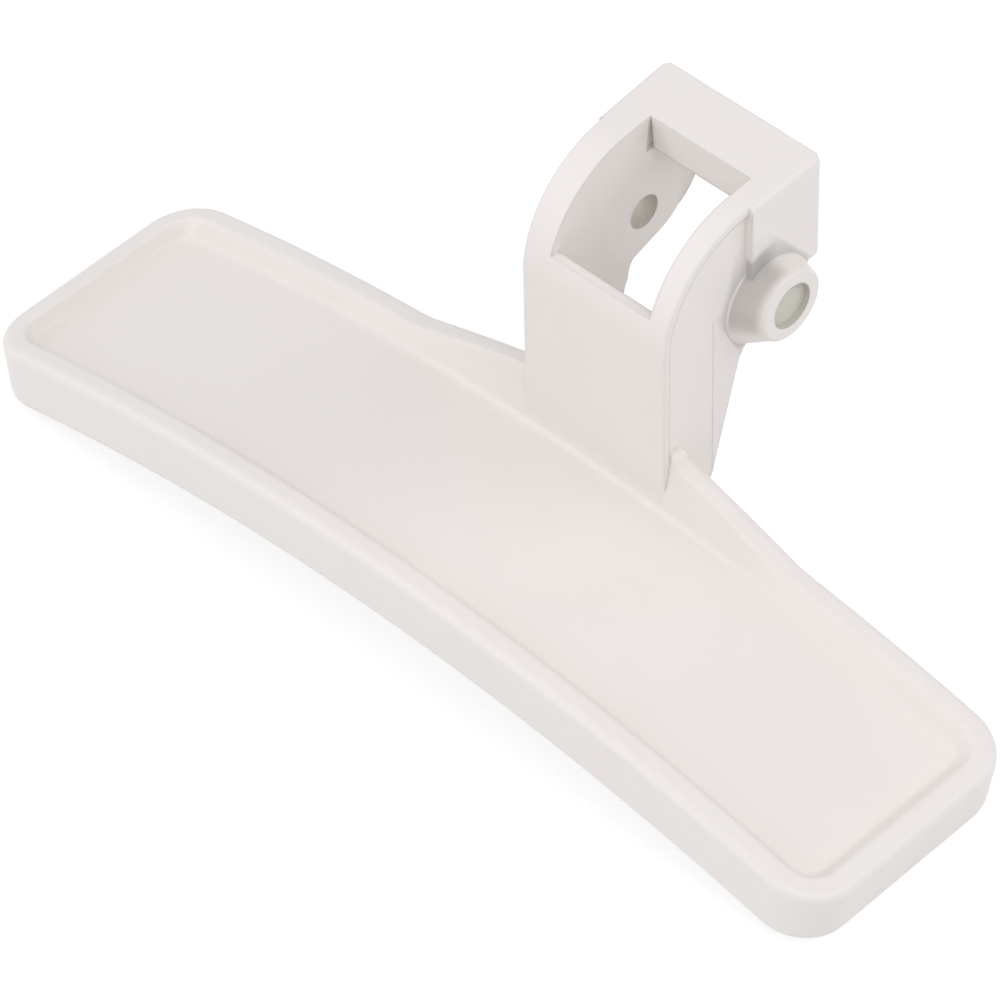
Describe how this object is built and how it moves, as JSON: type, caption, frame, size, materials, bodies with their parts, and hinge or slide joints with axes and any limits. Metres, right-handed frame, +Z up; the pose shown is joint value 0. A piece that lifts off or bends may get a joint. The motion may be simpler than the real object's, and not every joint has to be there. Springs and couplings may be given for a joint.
{
  "type": "washing machine door handle",
  "caption": "Arched grip plate with a raised rim round a shallow pan, and an upright hinge bracket with a square window, pierced ears and a side boss.",
  "frame": {"origin": "middle of the bounding box, on the plane that the plate's two low ends rest on", "axes": "+X along the grip plate, +Y from the plate's free edge towards the hinge bracket, +Z up along the bracket"},
  "size_m": [0.1498, 0.0632, 0.0587],
  "materials": {
    "white_plastic": "satin moulded off-white"
  },
  "bodies": {
    "root": {"door_handle": "white_plastic"}
  },
  "joints": []
}
